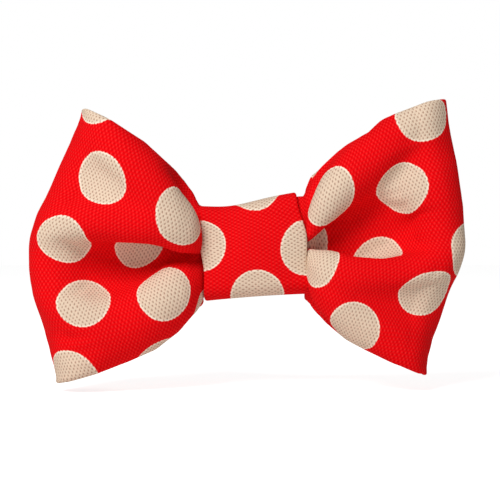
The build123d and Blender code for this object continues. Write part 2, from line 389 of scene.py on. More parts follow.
@dataclass(frozen=True)
class PrintedDuck:
    """Cotton duck, plain-woven from thick yarn and printed with opaque dots.

    The yarn crossings stand up as small bumps in staggered rows, and the print's edge follows
    them, so that a dot's rim looks a little toothed. Shade is painted into the pinhole between
    each four crossings, and a highlight is painted onto the crossings' tops.
    """

    ground: str = "#F5060F"
    dot: str = "#EBD3BA"
    rim: str = "#FFF1DA"
    # Painted shade in the pinholes: its colour, and how far it darkens the dots and the ground.
    pinhole_shade: str = "#8A4424"
    pinhole_shade_share: float = 0.62
    ground_pinhole_shade_share: float = 0.34
    crossing_highlight: str = "#FFE9D8"  # painted highlight on the tops of the yarn crossings
    crossing_highlight_share: float = 0.03
    dot_radius: float = 6.9  # mm
    rim_width: float = 0.34
    yarn_pitch: float = 0.98  # mm between bumps along a row
    row_pitch: float = 0.81  # mm between rows
    relief: float = 0.13  # mm that a crossing stands up

    def weave(self, tree: bpy.types.NodeTree) -> bpy.types.NodeSocket:
        """The height of the weave, from 0 in a pinhole to 1 on a crossing.

        Formula: the product of a cosine along the row and one of half the frequency across the
        rows, so that each row's bumps are half a pitch off the last row's, lifted and halved to
        run from 0 to 1. A little noise moves the threads, as a loom does.

        Args:
            tree: the material's node tree.

        Returns:
            The socket that gives the height.
        """
        cloth = add_node(tree, "ShaderNodeUVMap", {"uv_map": "cloth"})
        drift = add_node(
            tree,
            "ShaderNodeTexNoise",
            {"noise_dimensions": "2D"},
            {"Vector": cloth.outputs["UV"], "Scale": 0.35, "Detail": 2.0},
        )
        moved = add_node(
            tree,
            "ShaderNodeVectorMath",
            {"operation": "MULTIPLY_ADD"},
            {0: drift.outputs["Color"], 1: (0.5, 0.5, 0.0), 2: cloth.outputs["UV"]},
        )
        axes = add_node(tree, "ShaderNodeSeparateXYZ", None, {0: moved.outputs[0]})
        along, across = axes.outputs[:2]
        waves = []
        for axis, period in ((along, self.yarn_pitch), (across, 2 * self.row_pitch)):
            angle = add_node(
                tree, "ShaderNodeMath", {"operation": "MULTIPLY"}, {0: axis, 1: 2 * math.pi / period}
            )
            wave = add_node(tree, "ShaderNodeMath", {"operation": "COSINE"}, {0: angle.outputs[0]})
            waves.append(wave.outputs[0])
        product = add_node(
            tree, "ShaderNodeMath", {"operation": "MULTIPLY"}, {0: waves[0], 1: waves[1]}
        )
        lifted = add_node(
            tree,
            "ShaderNodeMath",
            {"operation": "MULTIPLY_ADD"},
            {0: product.outputs[0], 1: 0.5, 2: 0.5},
        )
        return lifted.outputs[0]

    def material(self, name: str) -> bpy.types.Material:
        """Builds the cloth's material.

        Args:
            name: the material's name.

        Returns:
            The material, which reads the piece's two UV maps.
        """
        material, tree, output = new_material(name)
        height = self.weave(tree)
        fibre = add_node(
            tree,
            "ShaderNodeTexNoise",
            None,
            {"Vector": self.cloth_place(tree), "Scale": 3.2, "Detail": 3.0, "Roughness": 0.6},
        )
        fading = add_node(
            tree,
            "ShaderNodeTexNoise",
            None,
            {"Vector": self.cloth_place(tree), "Scale": 0.09, "Detail": 2.0},
        )
        colour, outside = self.printed(tree, height)
        colour = self.shaded(tree, colour, height, outside)
        for noise, low in ((fibre, 0.86), (fading, 0.93)):
            shade = add_node(
                tree,
                "ShaderNodeMapRange",
                None,
                {"Value": noise.outputs[0], "From Min": 0.3, "From Max": 0.7, "To Min": low},
            )
            toned = add_node(
                tree,
                "ShaderNodeVectorMath",
                {"operation": "SCALE"},
                {0: colour, "Scale": shade.outputs[0]},
            )
            colour = toned.outputs[0]
        relief = add_node(
            tree,
            "ShaderNodeMath",
            {"operation": "MULTIPLY_ADD"},
            {0: fibre.outputs[0], 1: 0.25, 2: height},
        )
        bump = add_node(
            tree,
            "ShaderNodeBump",
            None,
            {"Height": relief.outputs[0], "Strength": 0.55, "Distance": self.relief * MM},
        )
        shader = add_node(
            tree,
            "ShaderNodeBsdfPrincipled",
            None,
            {
                "Base Color": colour,
                "Normal": bump.outputs[0],
                "Roughness": 0.82,
                "IOR": 1.46,
                "Specular IOR Level": 0.04,
            },
        )
        tree.links.new(shader.outputs[0], output.inputs["Surface"])
        return material

    def cloth_place(self, tree: bpy.types.NodeTree) -> bpy.types.NodeSocket:
        """The place on the flat cloth, in millimetres."""
        return add_node(tree, "ShaderNodeUVMap", {"uv_map": "cloth"}).outputs["UV"]

    def printed(
        self, tree: bpy.types.NodeTree, height: bpy.types.NodeSocket
    ) -> tuple[bpy.types.NodeSocket, bpy.types.NodeSocket]:
        """The print's colour: the dot inside its radius, a paler rim, and the ground outside.

        Args:
            tree: the material's node tree.
            height: the weave's height, which nudges the print's edge to and fro.

        Returns:
            The sockets that give the colour, and 1 outside the dots.
        """
        way = add_node(tree, "ShaderNodeUVMap", {"uv_map": "dots"})
        length = add_node(
            tree, "ShaderNodeVectorMath", {"operation": "LENGTH"}, {0: way.outputs["UV"]}
        )
        toothed = add_node(
            tree,
            "ShaderNodeMath",
            {"operation": "MULTIPLY_ADD"},
            {0: height, 1: -0.15, 2: length.outputs["Value"]},
        )
        rim = add_node(
            tree,
            "ShaderNodeMapRange",
            None,
            {
                "Value": toothed.outputs[0],
                "From Min": self.dot_radius - 2 * self.rim_width,
                "From Max": self.dot_radius - self.rim_width,
            },
        )
        spot = add_node(
            tree,
            "ShaderNodeMix",
            {"data_type": "RGBA"},
            {0: rim.outputs[0], 6: linear(self.dot), 7: linear(self.rim)},
        )
        outside = add_node(
            tree,
            "ShaderNodeMapRange",
            None,
            {
                "Value": toothed.outputs[0],
                "From Min": self.dot_radius - 0.2,
                "From Max": self.dot_radius,
            },
        )
        mixed = add_node(
            tree,
            "ShaderNodeMix",
            {"data_type": "RGBA"},
            {0: outside.outputs[0], 6: spot.outputs[2], 7: linear(self.ground)},
        )
        return mixed.outputs[2], outside.outputs[0]

    def shaded(
        self,
        tree: bpy.types.NodeTree,
        colour: bpy.types.NodeSocket,
        height: bpy.types.NodeSocket,
        outside: bpy.types.NodeSocket,
    ) -> bpy.types.NodeSocket:
        """Paints highlights on the yarn crossings and shade into the pinholes between them.

        Args:
            tree: the material's node tree.
            colour: the print's colour.
            height: the weave's height.
            outside: 1 outside the dots, where the painted pinhole shade is weaker.

        Returns:
            The socket that gives the colour with its painted shade and highlights.
        """
        # Painted shade: the lower a point lies in the weave, the more it is darkened towards the
        # pinhole shade colour, more on the dots than on the ground.
        share = add_node(
            tree,
            "ShaderNodeMapRange",
            None,
            {"Value": outside, "To Min": self.pinhole_shade_share, "To Max": self.ground_pinhole_shade_share},
        )
        depth = add_node(
            tree,
            "ShaderNodeMapRange",
            None,
            {"Value": height, "From Min": 0.45, "From Max": 0.05, "To Max": share.outputs[0]},
        )
        pinhole_shading = add_node(
            tree,
            "ShaderNodeMix",
            {"data_type": "RGBA", "blend_type": "MULTIPLY"},
            {0: depth.outputs[0], 6: colour, 7: linear(self.pinhole_shade)},
        )
        # Painted highlight: the crossings' tops are lightened towards the highlight colour.
        top = add_node(
            tree,
            "ShaderNodeMapRange",
            None,
            {"Value": height, "From Min": 0.6, "From Max": 1.0, "To Max": self.crossing_highlight_share},
        )
        crossing_highlight = add_node(
            tree,
            "ShaderNodeMix",
            {"data_type": "RGBA"},
            {0: top.outputs[0], 6: pinhole_shading.outputs[2], 7: linear(self.crossing_highlight)},
        )
        return crossing_highlight.outputs[2]


@dataclass(frozen=True)
class PlainFinish:
    """A finish of one colour with a fine grain, whose scale comes from a real size.

    The grain is noise on the object's own coordinates, stretched along one axis where the
    surface was drawn or rolled that way.
    """

    name: str
    colour: str
    dark: str
    roughness: float
    metallic: float = 0.0
    grain: float = 0.3  # mm
    stretch: tuple[float, float, float] = (1.0, 1.0, 1.0)
    relief: float = 0.01  # mm
    sheen: float = 0.0

    def material(self) -> bpy.types.Material:
        """Builds the material.

        Returns:
            The material, which reads the object's own coordinates.
        """
        material, tree, output = new_material(self.name)
        place = add_node(tree, "ShaderNodeTexCoord")
        mapped = add_node(
            tree,
            "ShaderNodeMapping",
            None,
            {"Vector": place.outputs["Object"], "Scale": self.stretch},
        )
        grain = add_node(
            tree,
            "ShaderNodeTexNoise",
            None,
            {"Vector": mapped.outputs[0], "Scale": 1 / (self.grain * MM), "Detail": 4.0},
        )
        stain = add_node(
            tree,
            "ShaderNodeTexNoise",
            None,
            {"Vector": place.outputs["Object"], "Scale": 160.0, "Detail": 3.0},
        )
        share = add_node(
            tree,
            "ShaderNodeMath",
            {"operation": "MULTIPLY"},
            {0: grain.outputs[0], 1: stain.outputs[0]},
        )
        tone = add_node(
            tree,
            "ShaderNodeMapRange",
            None,
            {"Value": share.outputs[0], "From Min": 0.12, "From Max": 0.38},
        )
        colour = add_node(
            tree,
            "ShaderNodeMix",
            {"data_type": "RGBA"},
            {0: tone.outputs[0], 6: linear(self.dark), 7: linear(self.colour)},
        )
        rough = add_node(
            tree,
            "ShaderNodeMapRange",
            None,
            {
                "Value": stain.outputs[0],
                "To Min": self.roughness - 0.08,
                "To Max": self.roughness + 0.08,
            },
        )
        bump = add_node(
            tree,
            "ShaderNodeBump",
            None,
            {"Height": grain.outputs[0], "Strength": 0.6, "Distance": self.relief * MM},
        )
        inputs = {
            "Base Color": colour.outputs[2],
            "Roughness": rough.outputs[0],
            "Normal": bump.outputs[0],
            "Metallic": self.metallic,
        }
        if self.sheen:
            inputs["Sheen Weight"] = self.sheen
        shader = add_node(tree, "ShaderNodeBsdfPrincipled", None, inputs)
        tree.links.new(shader.outputs[0], output.inputs["Surface"])
        return material


# Thin nickel over stamped spring steel: warm grey, bright, with the rolling's fine lengthways grain.
NICKEL_PLATE = PlainFinish(
    "nickel_plated_stamped_steel", "#D9D4CA", "#C4BFB4", 0.24, 1.0, 0.12, (0.08, 1.0, 1.0), 0.0012
)
# Drawn music wire: darker and a little duller, with draw marks.
DRAWN_WIRE = PlainFinish("drawn_music_wire", "#A8A59F", "#77736C", 0.34, 1.0, 0.08, relief=0.004)
# Moulded nitrile rubber: near black, matt, with the mould's fine texture.
MOULDED_RUBBER = PlainFinish("moulded_nitrile_rubber", "#2B2A2C", "#1C1B1D", 0.62, grain=0.15)
# Spun polyester sewing thread: two fine plies twisted together, with short fibres standing off.
SPUN_THREAD = PlainFinish(
    "spun_polyester_thread", "#C9131A", "#8E0A10", 0.7, grain=0.12, relief=0.03, sheen=0.3
)
# Non-woven fusible interlining: pressed off-white fibres without a weave.
FUSIBLE_INTERLINING = PlainFinish(
    "non_woven_fusible_interlining", "#ECE8DF", "#D6D1C6", 0.9, grain=0.35, relief=0.04, sheen=0.1
)


# ------------------------------------------------------------------------------- cloth simulation
class Cloth:
    """A grid of cloth that keeps its lengths, moved in steps and put right by its links.

    Every link holds two grid points at their distance on the flat cloth. A step moves the points
    on by what they moved last, and then each link in turn pulls or pushes its two points back
    to their distance, several times over. Longer links across two, four and eight squares
    resist bending, because a bent sheet brings such points closer together.
    """

    def __init__(self, places: np.ndarray, thickness: float) -> None:
        """Takes the starting shape.

        Args:
            places: the grid's points, [row, column, xyz].
            thickness: how near two parts of the cloth may come.
        """
        self.places = places.copy()
        self.last = places.copy()
        self.free = np.ones(places.shape[:2])
        self.thickness = thickness
        self.links = []

    def link(self, down: int, over: int, rest: np.ndarray | float, stiffness: float) -> None:
        """Adds links between all pairs of points that lie a given step apart on the grid.

        The links are put in two sets, so that no point belongs to two links of one set.

        Args:
            down: rows from the first point of a link to the second.
            over: columns from the first point to the second, below 0 for the other diagonal.
            rest: the distance of each pair, by the first point's place, or one for all.
            stiffness: the share of an error that is put right at once.
        """
        rows = np.arange(self.places.shape[0] - down)
        columns = np.arange(self.places.shape[1] - abs(over)) + max(0, -over)
        rests = np.broadcast_to(rest, (len(rows), len(columns)))
        for turn in (0, 1):
            some_rows = rows[(rows // down) % 2 == turn] if down else rows
            some_columns = columns if down else columns[(columns // over) % 2 == turn]
            near = np.ix_(some_rows, some_columns)
            far = np.ix_(some_rows + down, some_columns + over)
            own = rests[np.ix_(some_rows, some_columns - columns[0])]
            self.links.append((near, far, own, stiffness))

    def settle_links(self) -> None:
        """Puts every link's two points back to their distance, shared by how free they are."""
        for near, far, rest, stiffness in self.links:
            start, end = self.places[near], self.places[far]
            step = end - start
            length = np.sqrt(np.einsum("ijk,ijk->ij", step, step)) + 1e-9
            free_start, free_end = self.free[near], self.free[far]
            share = stiffness * (length - rest) / length / np.maximum(free_start + free_end, 1e-9)
            step *= share[..., None]
            self.places[near] = start + step * free_start[..., None]
            self.places[far] = end - step * free_end[..., None]

    def outward(self) -> np.ndarray:
        """Unit normals that point out of the loop: the step across times the step along."""
        along, across = np.gradient(self.places, axis=0), np.gradient(self.places, axis=1)
        normal = np.cross(across, along)
        return normal / (np.linalg.norm(normal, axis=2, keepdims=True) + 1e-9)

    def close_pairs(self) -> tuple[np.ndarray, np.ndarray]:
        """Pairs of points that are apart on the grid and closer than the thickness in space.

        Points are sorted into cubes of the thickness's size, and each is compared with those in
        its own and the neighbouring cubes.

        Returns:
            The point numbers of the pairs' first and second points.
        """
        points = self.places.reshape(-1, 3)
        cube = np.floor(points / self.thickness).astype(np.int64) + CUBE_SHIFT
        key = (cube[:, 0] * CUBE_SPAN + cube[:, 1]) * CUBE_SPAN + cube[:, 2]
        order = np.argsort(key, kind="stable")
        keys = key[order]
        number = np.arange(len(points))
        steps = np.array([-1, 0, 1])
        shifts = (steps[:, None, None] * CUBE_SPAN + steps[:, None]) * CUBE_SPAN + steps
        first, second = [], []
        for shift in shifts[shifts >= 0]:
            low, high = (np.searchsorted(keys, key + shift, side) for side in ("left", "right"))
            for rank in range((high - low).max()):
                found = low + rank < high
                one, other = number[found], order[(low + rank)[found]]
                once = (one < other) | (shift > 0)
                first.append(one[once])
                second.append(other[once])
        one, other = np.concatenate(first), np.concatenate(second)
        columns = self.places.shape[1]
        apart = np.abs(one // columns - other // columns) + np.abs(one % columns - other % columns)
        gap = np.linalg.norm(points[one] - points[other], axis=1)
        kept = (apart >= 3) & (gap < self.thickness)
        return one[kept], other[kept]

    def keep_apart(self) -> None:
        """Pushes the points of each close pair half way back to the cloth's thickness."""
        one, other = self.close_pairs()
        points, free = self.places.reshape(-1, 3), self.free.reshape(-1)
        step = points[other] - points[one]
        length = np.linalg.norm(step, axis=1) + 1e-9
        both = np.maximum(free[one] + free[other], 1e-9)
        step *= (0.5 * (length - self.thickness) / length / both)[:, None]
        for axis in range(3):
            points[:, axis] += np.bincount(one, step[:, axis] * free[one], len(points))
            points[:, axis] -= np.bincount(other, step[:, axis] * free[other], len(points))


@dataclass(frozen=True)
class Guide:
    """A line on the cloth that is led along a path in the front view, as a hand would."""

    across: float  # which line: its distance above the middle of the flat cloth, mm
    path: Points  # (distance from the middle of the bow, height) pairs, mm
    pull: float  # the share of the way that a point goes in one step
    layer: Layer = Layer.FRONT
    forward: float = 0.0  # mm a step towards the viewer, below 0 to tuck the line in


@dataclass(frozen=True)
class Press:
    """A straight stretch of a wing, in the front view, pressed back or drawn forward."""

    start: tuple[float, float]
    end: tuple[float, float]
    reach: float  # mm to each side, where the force has dropped to about a third
    force: float  # mm a step, above 0 to press back


@dataclass(frozen=True)
class Wing:
    """One half of the bow: a loop of cloth from the front of the waist round a fold to its back.

    It is described with the outward direction as +X, on both sides. A pleat profile gives the
    cloth's (y, z) beside the knot for each t, its place across the flat cloth.
    """

    side: Side
    length: float  # from the knot's edge to the outer fold, on the flat cloth
    front_pleats: Points
    back_pleats: Points
    top_edge: Points  # (distance from the middle of the bow, height) pairs of the outline
    bottom_edge: Points
    fold: Points
    guides: tuple[Guide, ...]
    presses: tuple[Press, ...]
    dots: Points  # (length from the knot's edge, t) of the dots that show in front
    eased_in: Points = ((-37.5, 1.0), (37.5, 1.0))  # (t, share of the cloth's length that is left)


@dataclass
class WingMaker:
    """Shapes a wing by simulation, from a ruled surface between its pleats and its fold."""

    width: float = 75.0  # the flat cloth's width, mm
    square: float = 1.25  # the grid's squares on the flat cloth
    knot_edge: float = 13.0  # from the middle of the bow to the row that the knot holds
    gathered: float = 10.0  # how far from the knot's edge the gathers reach
    thickness: float = 1.15  # how near two layers of cloth may come
    fold_gap: tuple[float, float] = (0.8, 1.3)  # from the fold to the layers' ends: inwards, in depth
    arches: tuple[float, float] = (3.0, 0.5)  # how far forward and back the two layers start bulged
    bends: tuple[tuple[int, float], ...] = ((8, 0.3), (4, 0.6), (2, 1.0))  # (squares, stiffness)
    bend_along: float = 0.8  # the share of that stiffness along the cloth
    bend_across: float = 0.3  # and across it, where it gathers
    shear: float = 0.35  # the stiffness of the squares' diagonals
    lead_out: float = 0.6  # how steeply the cloth leaves the knot outwards
    front_rise: float = 0.7  # how steeply the front leaves the knot towards the viewer
    fan: float = 0.9  # and how steeply its edges leave it up and down
    steps: int = 180
    rounds: int = 8  # how often the links are put right in a step
    carried: float = 0.9  # the share of a step's move that carries on into the next
    blow: float = 0.02  # the pressure inside, as mm a step
    rest_blow: float = 0.1  # the share of it that is left once the wing is filled
    blow_share: float = 0.3  # the share of the steps that fill the wing
    hold: float = 0.4  # the share of the way that the fold goes back to its line in a round
    follow: float = 0.1  # and that the back layer goes after the front one in a step
    flat_back: float = -1.7  # the back of the wing in front of the clip
    back_limit: float = 0.6  # and elsewhere
    parting: tuple[float, float] = (-5.7, -5.0)  # y that the front and the back layer keep to
    clear_knot: float = 13.6  # how near the middle of the bow the cloth may come
    clear_length: float = 31.0  # how far out the clip reaches
    clear_height: float = 7.5  # and how far up and down
    softened: int = 4  # rows on each side of the fold that are smoothed at the end
    softenings: int = 2  # how many times
    softening: float = 0.4  # and by what share of the way to their neighbours' middle

    def tees(self) -> np.ndarray:
        """The place across the cloth of each column, from the top edge to the bottom one."""
        return np.linspace(self.width / 2, -self.width / 2, round(self.width / self.square) + 1)

    def start(self, wing: Wing) -> tuple[np.ndarray, np.ndarray]:
        """The starting shape and the width of every grid square.

        Formula: straight lines from the pleats to the fold line, bulged forward by a sine. The
        squares beside the knot are as wide as the pleats' line is long, and reach the flat
        cloth's width along a smooth step.

        Args:
            wing: the wing to start.

        Returns:
            The grid's points, [row, column, xyz], and the squares' widths, [row, column].
        """
        tee = self.tees()
        half = round(wing.length / self.square)
        front, back = read_at(wing.front_pleats, tee), read_at(wing.back_pleats, tee)
        fold = evenly(wing.fold, len(tee))
        share = np.linspace(0, 1, half + 1)[:, None, None]
        edge = np.full((len(tee), 1), self.knot_edge)
        inwards, depth = self.fold_gap
        go = np.hstack([edge, front]) * (1 - share) + (fold + [-inwards, -depth, 0]) * share
        come = (fold + [-inwards, depth, 0]) * (1 - share) + np.hstack([edge, back]) * share
        arch = np.sin(np.pi * share[..., 0])
        go[..., 1] -= self.arches[0] * arch
        come[..., 1] += self.arches[1] * arch
        places = np.concatenate([go, fold[None], come])
        ease = eased(np.arange(half + 1) * self.square / self.gathered)[:, None]
        widths = np.full((len(places), len(tee) - 1), self.square)
        for rows, pleats in ((slice(0, half + 1), front), (slice(-1, -half - 2, -1), back)):
            pleated = np.linalg.norm(np.diff(pleats, axis=0), axis=1)
            widths[rows] = pleated + (self.square - pleated) * ease
        return places, widths

    def linked(self, wing: Wing, places: np.ndarray, widths: np.ndarray) -> Cloth:
        """Makes the cloth with its links: sides, diagonals, and long links against bending.

        Args:
            wing: the wing to link.
            places: the starting points.
            widths: the width of every grid square.

        Returns:
            The cloth, held at the knot's edge.
        """
        cloth = Cloth(places, self.thickness)
        run = np.hstack([np.zeros((len(widths), 1)), np.cumsum(widths, axis=1)])
        lengths = self.square * np.interp(self.tees(), *np.array(wing.eased_in).T)
        for span, stiffness in self.bends:
            cloth.link(span, 0, span * lengths, self.bend_along * stiffness)
            cloth.link(0, span, run[:, span:] - run[:, :-span], self.bend_across * stiffness)
        diagonal = np.hypot((lengths[1:] + lengths[:-1]) / 2, (widths[1:] + widths[:-1]) / 2)
        cloth.link(1, 1, diagonal, self.shear)
        cloth.link(1, -1, diagonal, self.shear)
        cloth.link(1, 0, lengths, 1.0)
        cloth.link(0, 1, widths, 1.0)
        cloth.free[:2] = 0
        cloth.free[-2:] = 0
        for row, beside, forward in ((0, 1, self.front_rise), (-1, -2, 0.0)):
            pleats = cloth.places[row]
            fan = self.fan * pleats[:, 2] / np.abs(pleats[:, 2]).max()
            outwards = np.full(len(pleats), self.lead_out)
            way = np.column_stack([outwards, np.full(len(pleats), -forward), fan])
            way /= np.linalg.norm(way, axis=1, keepdims=True)
            cloth.places[beside] = pleats + way * self.square
        cloth.last = cloth.places.copy()
        return cloth

    def lead(self, cloth: Cloth, wing: Wing, fold_row: int) -> None:
        """Applies the wing's guides and presses for one step.

        Args:
            cloth: the cloth to move.
            wing: whose guides and presses they are.
            fold_row: the row of the outer fold.
        """
        tee = self.tees()
        front = cloth.places[:fold_row]
        for press in wing.presses:
            start, end = np.array(press.start), np.array(press.end)
            way = front[..., ::2] - start
            share = np.clip(way @ (end - start) / ((end - start) @ (end - start)), 0, 1)
            off = np.linalg.norm(way - share[..., None] * (end - start), axis=2)
            near = np.exp(-((off / press.reach) ** 2))
            front[..., 1] += press.force * near * cloth.free[:fold_row]
        for guide in wing.guides:
            column = np.abs(tee - guide.across).argmin()
            rows = slice(0, fold_row) if guide.layer is Layer.FRONT else slice(fold_row + 1, None)
            line = cloth.places[rows, column]
            path_x, path_z = np.array(guide.path).T
            on_path = (line[:, 0] > path_x[0]) & (line[:, 0] < path_x[-1])
            rise = (np.interp(line[:, 0], path_x, path_z) - line[:, 2]) * guide.pull
            line[:, 2] += np.where(on_path, rise, 0) * cloth.free[rows, column]
            line[:, 1] -= np.where(on_path, guide.forward, 0) * cloth.free[rows, column]

    def bound(self, cloth: Cloth, wing: Wing, fold_row: int) -> None:
        """Keeps the layers on their own sides, the back clear of the clip and both in outline.

        The back layer also follows the front one in the front view, because they are sewn into
        one tube whose edges lie together.

        Args:
            cloth: the cloth to bound.
            wing: whose outline it keeps to.
            fold_row: the row of the outer fold.
        """
        places = cloth.places
        behind = (places[..., 0] < self.clear_length) & (np.abs(places[..., 2]) < self.clear_height)
        limit = np.where(behind, self.flat_back, self.back_limit)
        places[..., 1] = np.minimum(places[..., 1], limit)
        for path, side in ((wing.top_edge, 1), (wing.bottom_edge, -1)):
            path_x, path_z = np.array(path).T
            outline = np.interp(places[..., 0], path_x, path_z)
            room = side * (outline - places[..., 2]) - self.thickness / 2
            places[..., 2] += side * np.minimum(room, 0) * cloth.free
        clear = np.maximum(places[..., 0], self.clear_knot)
        places[..., 0] = np.where(cloth.free > 0, clear, places[..., 0])
        front, back = places[:fold_row], places[fold_row + 1 :][::-1]
        pulled = (front - back) * [self.follow, 0, self.follow]
        back += pulled * cloth.free[:fold_row, :, None]
        apart = slice(2, -3)  # the rows that neither the knot nor the fold brings together
        front[apart, :, 1] = np.minimum(front[apart, :, 1], self.parting[0])
        back[apart, :, 1] = np.maximum(back[apart, :, 1], self.parting[1])

    def shape(self, wing: Wing) -> np.ndarray:
        """Runs the simulation.

        Args:
            wing: the wing to shape.

        Returns:
            The grid's points, [row, column, xyz], with the outward direction as +X.
        """
        places, widths = self.start(wing)
        cloth = self.linked(wing, places, widths)
        fold_row = len(places) // 2
        fold = places[fold_row].copy()
        for step in range(self.steps):
            moved = (cloth.places - cloth.last) * self.carried
            cloth.last = cloth.places.copy()
            blow = self.blow * (1 if step < self.steps * self.blow_share else self.rest_blow)
            cloth.places += (moved + cloth.outward() * blow) * cloth.free[..., None]
            self.lead(cloth, wing, fold_row)
            for _ in range(self.rounds):
                cloth.settle_links()
                cloth.places[fold_row] += (fold - cloth.places[fold_row]) * self.hold
            if step % 2 == 0:
                cloth.keep_apart()
            self.bound(cloth, wing, fold_row)
        near_fold = slice(fold_row - self.softened, fold_row + self.softened + 1)
        for _ in range(self.softenings):
            before = cloth.places[near_fold.start - 1 : near_fold.stop - 1]
            after = cloth.places[near_fold.start + 1 : near_fold.stop + 1]
            step_to = (before + after) / 2 - cloth.places[near_fold]
            cloth.places[near_fold] += step_to * self.softening
        return cloth.places


LEFT_TOP_EDGE = ((14.4, 10.7), (16.3, 14.7), (20.4, 20.0), (27.9, 26.9), (37.4, 32.9), (43.0, 35.6))
LEFT_BOTTOM_EDGE = (
    (14.0, -15.2), (17.1, -18.6), (19.6, -21.6), (25.4, -26.1), (32.1, -29.0), (40.3, -32.1),
    (50.0, -34.8),
)
LEFT_WING = Wing(
    side=Side.LEFT,
    length=48.8,
    front_pleats=(
        (37.5, -5.8, 9.0), (33.0, -7.9, 8.8), (29.0, -8.9, 7.0), (20.0, -9.1, 3.2),
        (13.0, -9.0, 0.2), (10.0, -8.5, -1.1), (7.0, -7.9, 0.4), (1.0, -7.8, 4.6),
        (-1.0, -7.2, 5.6), (-3.0, -6.7, 4.6), (-8.5, -6.7, 0.0), (-12.0, -7.4, -3.0),
        (-16.0, -8.7, -4.6), (-21.0, -9.1, -6.6), (-28.0, -8.9, -9.4), (-33.0, -7.6, -11.3),
        (-37.5, -5.8, -11.9),
    ),
    back_pleats=(
        (37.5, -4.4, 9.4), (33.0, -2.9, 9.4), (28.0, -1.7, 7.8), (18.0, -1.6, 4.6),
        (10.0, -2.4, 3.0), (3.0, -3.4, 1.6), (-4.0, -3.4, 0.2), (-11.0, -2.4, -1.4),
        (-18.0, -1.6, -4.4), (-28.0, -1.6, -9.0), (-33.0, -2.4, -11.0), (-37.5, -4.4, -11.7),
    ),
    top_edge=LEFT_TOP_EDGE,
    bottom_edge=LEFT_BOTTOM_EDGE,
    fold=(
        (43.0, -8.5, 35.6), (47.8, -8.8, 25.8), (52.0, -9.0, 17.6), (55.9, -9.0, 8.1),
        (57.9, -8.8, -2.0), (56.5, -8.6, -10.5), (55.0, -8.5, -17.4), (52.3, -8.2, -28.2),
        (50.0, -8.0, -34.8),
    ),
    guides=(
        Guide(37.5, LEFT_TOP_EDGE, 0.25),
        Guide(37.5, LEFT_TOP_EDGE, 0.25, Layer.BACK),
        Guide(-37.5, LEFT_BOTTOM_EDGE, 0.4),
        Guide(-37.5, LEFT_BOTTOM_EDGE, 0.4, Layer.BACK),
        Guide(10.0, ((14.0, -1.6), (23.7, -1.8), (36.4, 0.0), (43.2, 2.0)), 0.12),
    ),
    presses=(
        Press((14.0, -5.0), (46.0, -7.0), 5.0, -0.02),
        Press((32.0, 19.0), (43.0, 24.0), 6.0, -0.01),
        Press((30.0, -5.5), (56.0, -8.0), 2.5, 0.02),
    ),
    dots=(
        (35.8, 21.8), (38.3, 2.0), (13.7, 20.2), (18.7, -1.6), (34.5, -16.6), (14.5, -21.6),
        (43.6, -35.4), (20.2, -40.2), (0.6, -36.0), (43.0, 40.9),
    ),
)

